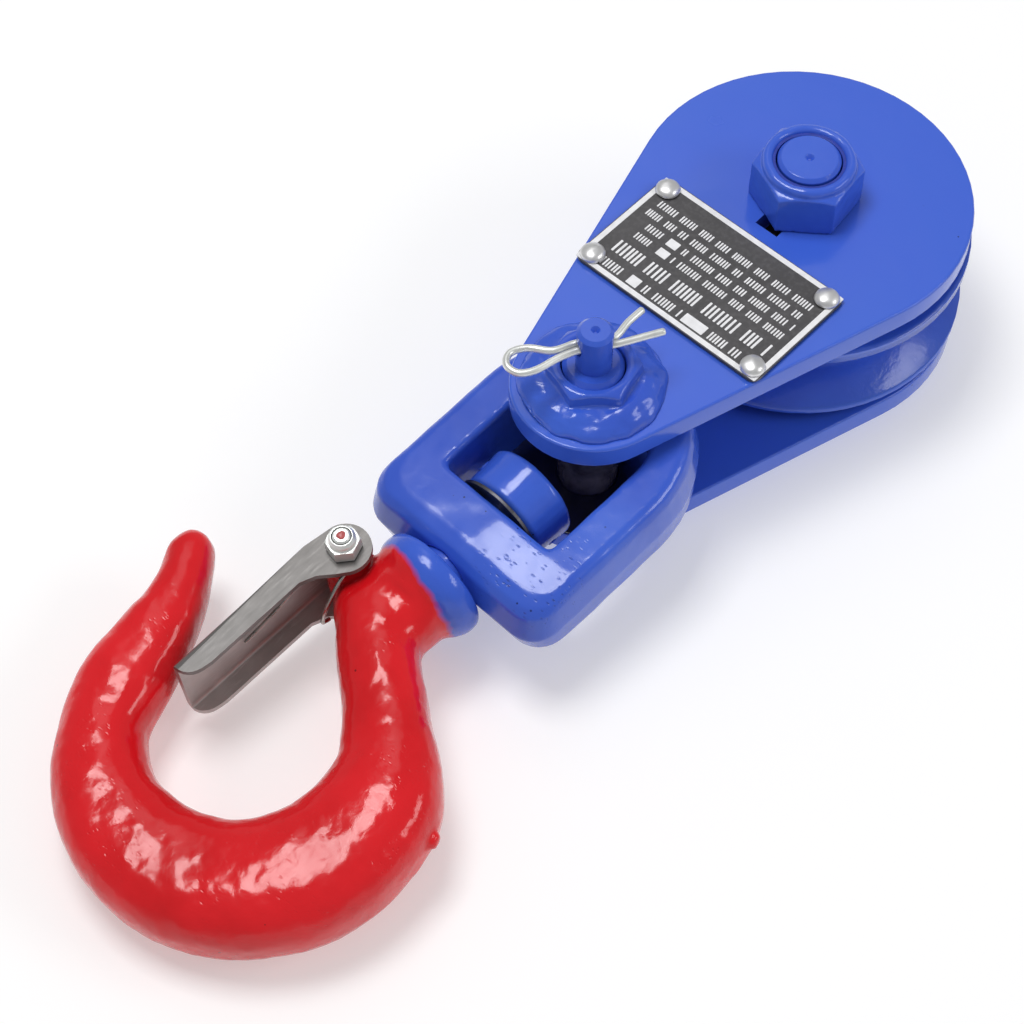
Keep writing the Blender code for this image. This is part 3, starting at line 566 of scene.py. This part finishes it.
def catmull(points, parts):
    """A smooth curve through the points, with each stretch in that many parts."""
    ends = [points[0]] + list(points) + [points[-1]]
    smooth = []
    for a, b, c, d in zip(ends, ends[1:], ends[2:], ends[3:]):
        for k in range(parts):
            t = k / parts
            point = []
            for p, q, r, s in zip(a, b, c, d):
                square = 2 * p - 5 * q + 4 * r - s
                cube = 3 * q - p - 3 * r + s
                point.append(0.5 * (2 * q + (r - p) * t + square * t * t + cube * t ** 3))
            smooth.append(tuple(point))
    smooth.append(tuple(points[-1]))
    return smooth


# ------------------------------------------------------------------ hook

NECK = [
    ((53.0, -10.9), (53.0, 10.9), 10.4),
    ((58.4, -11.2), (57.4, 11.1), 8.7),
    ((65.2, -11.2), (61.6, 11.5), 8.7),
    ((71.4, -4.2), (66.0, 16.9), 8.9),
    ((77.4, 2.9), (69.6, 22.1), 8.9),
    ((83.3, 10.0), (73.4, 27.8), 9.0),
    ((87.9, 14.5), (78.5, 34.7), 9.3),
]
POINT = [
    ((108.0, -19.0), (119.5, -34.3), 8.8),
    ((101.5, -21.2), (110.0, -38.2), 8.3),
    ((94.5, -24.4), (101.5, -39.4), 7.7),
    ((88.0, -28.2), (93.3, -40.6), 7.0),
    ((82.5, -31.8), (86.0, -42.8), 6.3),
    ((78.3, -35.0), (80.6, -46.2), 5.9),
    ((75.8, -37.3), (76.7, -46.2), 5.0),
    ((74.2, -39.2), (74.5, -45.0), 3.3),
    ((73.7, -41.2), (73.8, -43.3), 1.4),
]
FLATTEN = 0.81  # below 1, the section is squarer than an ellipse, as a die leaves it
CROWN_SHIFT = 0.05  # how much fuller the section is towards the outside of the bowl
BOWL_INNER = ((98.7, -2.3), 20.3)
BOWL_OUTER = ((102.7, 4.0), 41.1)


def on_circle(circle, degrees):
    (x, y), radius = circle
    a = math.radians(degrees)
    return (x + radius * math.cos(a), y + radius * math.sin(a))


def hook_stations():
    bowl = []
    for k in range(9):
        share = k / 8
        degrees = 112.0 - 158.0 * share
        thinning = 0.7 * (1 - math.sin(math.pi * min(1.0, share * 1.6 + 0.12)))
        thinning += max(0.0, share - 0.55)
        bowl.append((on_circle(BOWL_INNER, degrees), on_circle(BOWL_OUTER, degrees), 10.6 - thinning))
    return NECK + bowl + POINT


def hook_loft():
    """Squarish oval sections along the hook's centre line."""
    rows = catmull([(*inner, *outer, half) for inner, outer, half in hook_stations()], 8)
    count = 72
    shape = bmesh.new()
    rings = []
    for ix, iy, ox, oy, half in rows:
        middle = Vector(((ix + ox) / 2, (iy + oy) / 2))
        reach = (Vector((ix, iy)) - Vector((ox, oy))) / 2
        ring = []
        for k in range(count):
            t = 2 * math.pi * k / count
            across = math.copysign(abs(math.cos(t)) ** FLATTEN, math.cos(t))
            spot = middle + reach * across
            height = half * math.copysign(abs(math.sin(t)) ** FLATTEN, math.sin(t))
            height *= 1 - CROWN_SHIFT * across
            ring.append(shape.verts.new(LINK @ (Vector((spot.x, spot.y, height)) * MM)))
        rings.append(ring)
    return skinned(shape, rings)


SHANK_Y_MM = 1.0
NUB_DEGREES = 109.0


def make_hook():
    """The forging: lofted bowl, turned shank and collar, the latch's lug and the nub on the outside."""
    shank_axis = LINK @ Matrix.Translation((0, SHANK_Y_MM * MM, 0)) @ Matrix.Rotation(QUARTER, 4, "Y")
    shank = [(0, 17.6), (5.7, 17.6), (6.5, 18.4), (6.5, 46.4), (11.6, 46.4), (12.7, 47.2), (13.0, 48.6)]
    shank += [(12.9, 50.6), (12.0, 52.6), (10.4, 54.6), (9.6, 56.4), (0, 56.4)]
    lug = [(0, -6.3), (4.6, -6.3), (5.2, -5.7), (5.2, 5.7), (4.6, 6.3), (0, 6.3)]
    lug_place = LINK @ Matrix.Translation((LATCH_PIVOT_MM[0] * MM, LATCH_PIVOT_MM[1] * MM, 0))
    shapes = [hook_loft(), lathe(shank, 72, shank_axis), lathe(lug, 48, lug_place)]
    nub = [(0, -1.1), (1.7, -1.1), (1.9, 0), (1.6, 1.4), (0, 1.6)]
    nub_at = LINK @ Matrix.Translation(Vector((*on_circle(BOWL_OUTER, NUB_DEGREES), 1.0)) * MM)
    nub_at = nub_at @ Matrix.Rotation(math.radians(NUB_DEGREES), 4, "Z")
    nub_at = nub_at @ Matrix.Rotation(QUARTER, 4, "Y")
    shapes.append(lathe(nub, 16, nub_at))
    mesh = remeshed(join_shapes(shapes), 0.52, 9)
    to_link = np.array(LINK.inverted())

    def mask(points):
        """No lumps on the shank, which turns in the link, growing to full ones past the collar."""
        along = points @ to_link[0, :3] + to_link[0, 3]
        return np.clip((along - 0.048) / 0.006, 0.0, 1.0)

    lumps(mesh, [(0.50, 19.0, 1), (0.26, 8.0, 2), (0.12, 3.4, 3), (0.06, 1.8, 14)], mask)
    to_object("hook_forging", mesh, "hook", "hook", ("crane_hook",))


make_hook()


# ------------------------------------------------------------------ link and the nut inside it

CROSSBAR_X_MM = 30.5  # where the crossbar starts to fall away
CROWN_Y_MM = 5.0  # the faces are highest along this line


def make_link():
    """The forging, whose faces fall away a little to both sides and towards the crossbar's end."""
    mesh = remeshed(join_shapes([cad_shape("swivel_link")]), 0.5, 4)
    local = link_points(mesh)
    past = np.clip(local[:, 0] - CROSSBAR_X_MM, 0.0, None)
    side = np.clip((local[:, 1] - 3.0) / 6.0, 0.15, 1.0)
    local[:, 2] *= 1.0 - 0.0045 * past ** 1.35 * side - 0.0022 * np.abs(local[:, 1] - CROWN_Y_MM)
    set_link_points(mesh, local)
    lumps(mesh, [(0.14, 15.0, 4), (0.09, 6.0, 5), (0.025, 2.5, 6)])
    to_object("link_forging", mesh, "cast", "link", ("swivel_link",))


make_link()


def make_swivel_nut():
    """The nut on the shank, slightly tapered under its paint."""
    mesh = remeshed(join_shapes([cad_shape("swivel_nut")]), 0.38, 4)
    local = link_points(mesh)
    slim = 1.0 - 0.075 * np.clip((local[:, 0] - 15.0) / 14.0, 0.0, 1.0)
    local[:, 1] = SHANK_Y_MM + (local[:, 1] - SHANK_Y_MM) * slim
    local[:, 2] *= slim
    set_link_points(mesh, local)
    lumps(mesh, [(0.12, 6.0, 7), (0.06, 2.4, 8)])
    to_object("swivel_nut_finish", mesh, "turned", "hook", ("swivel_nut",))


make_swivel_nut()
crisp("swivel_nut_pin", "turned", "hook")
crisp("swivel_washer", "dark", "hook", bevel_mm=0.15)


# ------------------------------------------------------------------ plates, sheave and their hardware

crisp("front_side_plate", "plate", "frame", 50.0)
crisp("back_side_plate", "inner_plate", "frame", 50.0)
crisp("sheave", "wheel", "sheave", 50.0)
crisp("sheave_bushing", "bronze", "sheave", bevel_mm=0.2)


def deepen_punch(shape):
    """Sinks the centre punch mark in the end of a bolt or pin."""
    top = max(v.co.z for v in shape.verts)
    on_top = [v.co for v in shape.verts if v.co.z > top - 1e-5]
    middle = sum(on_top, Vector()) / len(on_top)
    for v in shape.verts:
        if (v.co.xy - middle.xy).length < 0.5 * MM and v.co.z > top - 1.0 * MM:
            v.co.z -= 0.5 * MM


crisp("centre_bolt", "turned", "frame", 40.0, 0.15, deepen_punch)
crisp("load_pin", "pin", "frame", 40.0, 0.15, deepen_punch)
crisp("lock_nut_insert", "nylon", "frame", bevel_mm=0.15)


def make_lock_nut():
    """The centre nut with its rolled collar."""
    collar = [(7.9, 54.0), (10.4, 54.0), (10.4, 55.9), (10.25, 56.6), (9.8, 57.15), (9.15, 57.3)]
    collar += [(8.5, 57.15), (8.05, 56.7), (7.9, 56.1)]
    shapes = [cad_shape("centre_lock_nut"), lathe(collar, 96, Matrix())]
    mesh = remeshed(join_shapes(shapes), 0.25, 3)
    lumps(mesh, [(0.14, 6.0, 9), (0.09, 2.3, 10)])
    to_object("centre_lock_nut_finish", mesh, "turned", "frame", ("centre_lock_nut",))


make_lock_nut()


def make_boss():
    """The boss and its weld bead, run together under the paint."""
    bead = [(7.2, 44.5), (15.9, 44.5), (15.9, 45.1), (15.3, 46.1), (14.1, 47.0), (12.6, 47.7), (11.2, 48.1)]
    bead += [(10.2, 48.3), (9.0, 48.6), (7.2, 48.7)]
    at_pin = Matrix.Translation((PIN_X_MM * MM, 0, 0))
    mesh = remeshed(join_shapes([cad_shape("pin_boss"), lathe(bead, 96, at_pin)]), 0.28, 5)

    def mask(points):
        """Lumps on the bead, and next to none on the boss."""
        radius = np.hypot(points[:, 0] - PIN_X_MM * MM, points[:, 1])
        on_bead = np.clip((radius - 0.0090) / 0.002, 0.0, 1.0)
        on_bead *= np.clip((0.0500 - points[:, 2]) / 0.001, 0.0, 1.0)
        return 0.1 + 0.9 * on_bead

    lumps(mesh, [(1.00, 9.0, 11), (0.60, 4.2, 12), (0.14, 2.0, 13)], mask)
    to_object("pin_boss_and_weld", mesh, "bead", "frame", ("pin_boss", "pin_boss_weld"))


make_boss()

COTTER_HEIGHT_MM = 57.9
COTTER_WIRE_MM = 0.82
COTTER_ROUTE = [
    (-13.6, 1.3), (-9.0, 1.3), (-4.3, 1.9), (-1.76, 0.11), (1.11, -1.9), (2.91, -3.16),
    (7.2, -5.2), (10.2, -9.4), (13.6, -11.2), (16.3, -9.7), (16.3, -6.6), (13.4, -4.4), (8.0, -3.1),
    (3.97, -1.66), (2.17, -0.4), (-0.7, 1.61), (-3.24, 3.39), (-8.2, 6.1), (-12.4, 8.4),
]


def tube(route, radius, sides):
    """A round wire swept along the route in mm, with eased ends."""
    points = [Vector(p) for p in route]
    shape = bmesh.new()
    rings = []
    side = None
    for i, point in enumerate(points):
        ahead = (points[min(i + 1, len(points) - 1)] - points[max(i - 1, 0)]).normalized()
        if side is None:
            side = ahead.orthogonal().normalized()
        side = (side - ahead * side.dot(ahead)).normalized()
        up = ahead.cross(side)
        ends = min(i, len(points) - 1 - i)
        size = radius * (0.75 if ends == 0 else 1.0)
        ring = []
        for k in range(sides):
            a = 2 * math.pi * k / sides
            ring.append(shape.verts.new((point + (side * math.cos(a) + up * math.sin(a)) * size) * MM))
        rings.append(ring)
    return skinned(shape, rings)


def wire_piece(name, route, radius, material, body, replaced):
    return to_object(name, mesh_of(tube(route, radius, 18), name), material, body, replaced, 50)


def make_cotter():
    route = catmull([(x + PIN_X_MM, y, COTTER_HEIGHT_MM) for x, y in COTTER_ROUTE], 10)
    wire_piece("cotter_wire", route, COTTER_WIRE_MM, "zinc", "frame", ("cotter_pin",))


make_cotter()


# ------------------------------------------------------------------ sign


def flat_bar(shape, centre, half, base, top, radius, turn_steps=3):
    """A low raised bar with rounded corners, in mm."""
    (cx, cy), (hx, hy) = centre, half
    outline = []
    for sx, sy, start in ((1, 1, 0), (-1, 1, 90), (-1, -1, 180), (1, -1, 270)):
        for k in range(turn_steps + 1):
            a = math.radians(start + 90 * k / turn_steps)
            x = cx + sx * (hx - radius) + radius * math.cos(a)
            outline.append((x, cy + sy * (hy - radius) + radius * math.sin(a)))
    rings = [[shape.verts.new(Vector((x, y, z)) * MM) for x, y in outline] for z in (base, top)]
    count = len(outline)
    for i in range(count):
        j = (i + 1) % count
        shape.faces.new((rings[0][i], rings[0][j], rings[1][j], rings[1][i]))
    shape.faces.new(rings[1])
    shape.faces.new(rings[0][::-1])


# Rows of plain strokes across the sign: the place along x, half the height, and the places of plain blocks
SIGN_ROWS_MM = [
    (44.5, 1.15, ((6.0, 3.0), (-11.0, 1.4))),
    (39.4, 1.85, ()),
    (34.4, 0.95, ((-11.5, 1.4),)),
    (31.0, 0.95, ((-11.5, 1.4),)),
    (27.6, 0.95, ()),
    (24.2, 0.95, ()),
]


def make_sign():
    crisp("nameplate", "field", "frame", bevel_mm=0.12)
    low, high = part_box("nameplate")
    x0, y0, x1, y1 = (v / MM for v in (low.x, low.y, high.x, high.y))
    top = high.z / MM
    border = 1.25
    inset = 0.25
    shape = bmesh.new()
    sides = [
        ((x0 + inset + border / 2, (y0 + y1) / 2), (border / 2, (y1 - y0) / 2 - inset)),
        ((x1 - inset - border / 2, (y0 + y1) / 2), (border / 2, (y1 - y0) / 2 - inset)),
        (((x0 + x1) / 2, y0 + inset + border / 2), ((x1 - x0) / 2 - inset, border / 2)),
        (((x0 + x1) / 2, y1 - inset - border / 2), ((x1 - x0) / 2 - inset, border / 2)),
    ]
    for index, (centre, half) in enumerate(sides):
        flat_bar(shape, centre, half, top - 0.1, top + 0.05 + 0.004 * (index > 1), 0.35)
    rng = np.random.default_rng(7)
    for x, half_height, blocks in SIGN_ROWS_MM:
        for y, half_length in blocks:
            flat_bar(shape, (x, y), (half_height + 0.15, half_length), top - 0.1, top + 0.05, 0.15, 2)
        stroke = 0.09 + 0.10 * half_height
        y = y0 + 3.6 + rng.uniform(0.0, 3.0)
        left = int(rng.integers(4, 9))
        while y < y1 - 3.4:
            if all(abs(y - at) > half_length + 0.9 for at, half_length in blocks):
                flat_bar(shape, (x, y), (half_height, stroke), top - 0.1, top + 0.05, stroke * 0.5, 2)
            left -= 1
            y += stroke * rng.uniform(3.4, 4.6)
            if left == 0:
                y += 0.8 + 0.4 * half_height
                left = int(rng.integers(3, 9))
    name = "nameplate_print"
    to_object(name, mesh_of(shape, name), "print", "frame", smooth_angle=30)


make_sign()


def make_rivets():
    for index in range(1, 5):
        node = f"nameplate_rivet_{index}"
        low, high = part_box(node)
        centre = (low + high) / 2
        seat = high.z / MM - 1.7
        profile = [(0, seat - 2.0), (1.15, seat - 2.0), (1.15, seat), (2.62, seat), (2.8, seat + 0.12)]
        for k in range(1, 14):
            a = math.radians(90 * k / 14)
            profile.append((2.8 * math.cos(a), seat + 0.12 + 1.55 * math.sin(a)))
        profile.append((0, seat + 1.67))
        shape = lathe(profile, 40, Matrix.Translation((centre.x, centre.y, 0)))
        mesh = mesh_of(shape, node + "_finish")
        lumps(mesh, [(0.10, 2.0, 20 + index)])
        to_object(node + "_finish", mesh, "rivet", "frame", (node,), 50)


make_rivets()


# ------------------------------------------------------------------ latch and its fasteners

crisp("hook_latch", "latch", "latch", 40.0, 0.28)

COIL_RADIUS_MM = 3.3


def make_spring():
    """The latch's torsion spring: one leg lies on the hook's neck and the other on the latch."""
    coil = []
    for k in range(43):
        a = -math.pi / 2 - 2 * math.pi * k / 28
        x = LATCH_PIVOT_MM[0] + COIL_RADIUS_MM * math.cos(a)
        coil.append((x, LATCH_PIVOT_MM[1] + COIL_RADIUS_MM * math.sin(a), 6.95 + 1.1 * k / 28))
    web_leg = [(85.0, -17.7, 0.2), (77.0, -17.7, 1.4), (69.5, -17.4, 4.4)]
    web_leg += [(64.6, -17.1, 6.8), (61.5, -16.8, 6.95)]
    neck_leg = [(62.6, -9.8, 8.6), (66.6, -9.2, 6.6), (69.6, -9.0, 3.2)]
    neck_leg += [(70.6, -9.2, 0.2), (69.8, -9.4, -1.0), (68.6, -9.4, -1.4)]
    route = catmull(web_leg + coil[:1], 8)[:-1] + coil[:-1] + catmull(coil[-1:] + neck_leg, 8)
    route = [(LINK @ (Vector(p) * MM)) / MM for p in route]
    spring = wire_piece("latch_spring_wire", route, 0.45, "spring", None, ("latch_spring",))
    x, y = LATCH_PIVOT_MM
    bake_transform(spring)


make_spring()
crisp("latch_bolt", "zinc", "hook", 40.0, 0.15)
crisp("latch_nut", "zinc", "hook", 40.0, 0.15)


def make_dot():
    """The dab of red paint that seals the latch bolt's end."""
    place = LINK @ Matrix.Translation((LATCH_PIVOT_MM[0] * MM, LATCH_PIVOT_MM[1] * MM, 0))
    profile = [(0, 16.3), (0.85, 16.4), (1.0, 16.62), (0.8, 16.8), (0.4, 16.9), (0, 16.92)]
    mesh = mesh_of(lathe(profile, 24, place), "latch_bolt_paint_dot")
    lumps(mesh, [(0.25, 0.9, 31)])
    to_object("latch_bolt_paint_dot", mesh, "dot", "hook")


make_dot()


# ------------------------------------------------------------------ floor, light and camera

FLOOR_GLOW = 0.37  # fills the shadows, because the block stands on a nearly pure white ground


def make_floor():
    shape = bmesh.new()
    bmesh.ops.create_grid(shape, x_segments=8, y_segments=8, size=3.0)
    mesh = mesh_of(shape, "floor")
    floor = bpy.data.objects.new("floor", mesh)
    bpy.context.scene.collection.objects.link(floor)
    floor.location.z = -0.0002
    made, graph, shader = new_material("pale_floor")
    grain = graph.noise(6.0, 3.0)
    tone = graph.mix(grain, (0.65, 0.65, 0.655), (0.67, 0.67, 0.67))
    shader.inputs["Emission Color"].default_value = (1.0, 1.0, 1.0, 1.0)
    shader.inputs["Emission Strength"].default_value = FLOOR_GLOW
    normal = graph.bump(graph.noise(400.0, 2.0), 0.05, 0.05)
    wire_up(graph, shader, colour=tone, rough=0.75, normal=normal)
    shader.inputs["Specular IOR Level"].default_value = 0.2
    mesh.materials.append(made)


def area_light(name, direction, distance, size, power):
    """A softbox that faces the block from the given direction."""
    light = bpy.data.lights.new(name, "AREA")
    light.shape = "RECTANGLE"
    light.size, light.size_y = size
    light.energy = power
    obj = bpy.data.objects.new(name, light)
    bpy.context.scene.collection.objects.link(obj)
    towards = Vector(direction).normalized()
    obj.location = Vector(BLOCK_MIDDLE) + towards * distance
    obj.rotation_euler = (-towards).to_track_quat("-Z", "Y").to_euler()


BLOCK_MIDDLE = (0.08, 0.0, 0.02)
SKY_STOPS = [(0.0, 0.68), (0.04, 0.60), (0.14, 0.42), (0.36, 0.36), (0.72, 0.35), (1.0, 0.36)]
PANEL_DIRECTION = (-0.40, -0.43, 0.81)


def make_light():
    """An even pale sky, lighter at the horizon, with one soft panel in it, and two softboxes."""
    world = bpy.data.worlds.new("studio")
    world.use_nodes = True
    graph = Graph(world.node_tree)
    background = world.node_tree.nodes["Background"]
    towards = graph.node("ShaderNodeTexCoord").outputs["Generated"]
    height = graph.node("ShaderNodeSeparateXYZ", {"Vector": towards}).outputs["Z"]
    near = graph.node("ShaderNodeVectorMath", {0: towards, 1: PANEL_DIRECTION}, operation="DOT_PRODUCT")
    panel = graph.range(near.outputs["Value"], 0.970, 0.997, 0.0, 1.1)
    sky = graph.mix(1.0, graph.ramp(height, SKY_STOPS), panel, "ADD")
    world.node_tree.links.new(sky, background.inputs["Color"])
    background.inputs["Strength"].default_value = 1.0
    bpy.context.scene.world = world
    area_light("softbox_top", (0.07, -0.23, 0.97), 1.0, (0.42, 0.34), 5.4)
    area_light("softbox_side", (-0.45, 0.66, 0.60), 1.2, (0.55, 0.28), 2.6)


def make_camera():
    """The fitted viewpoint: above the hook's side, looking along the block."""
    data = bpy.data.cameras.new("camera")
    data.sensor_width = 36.0
    data.lens = 98.97
    data.clip_start = 0.01
    data.clip_end = 20.0
    camera = bpy.data.objects.new("camera", data)
    bpy.context.scene.collection.objects.link(camera)
    right = Vector((-0.67607, 0.73675, 0.01133))
    down = Vector((0.60496, 0.56377, -0.56230))
    view = Vector((-0.42066, -0.37330, -0.82685))
    turn = Matrix((right, -down, -view)).transposed().to_4x4()
    camera.matrix_world = Matrix.Translation((0.34636, 0.22323, 0.51737)) @ turn
    bpy.context.scene.camera = camera


make_floor()
make_light()
make_camera()
bpy.context.scene.view_settings.view_transform = "Standard"
bpy.context.scene.view_settings.look = "None"
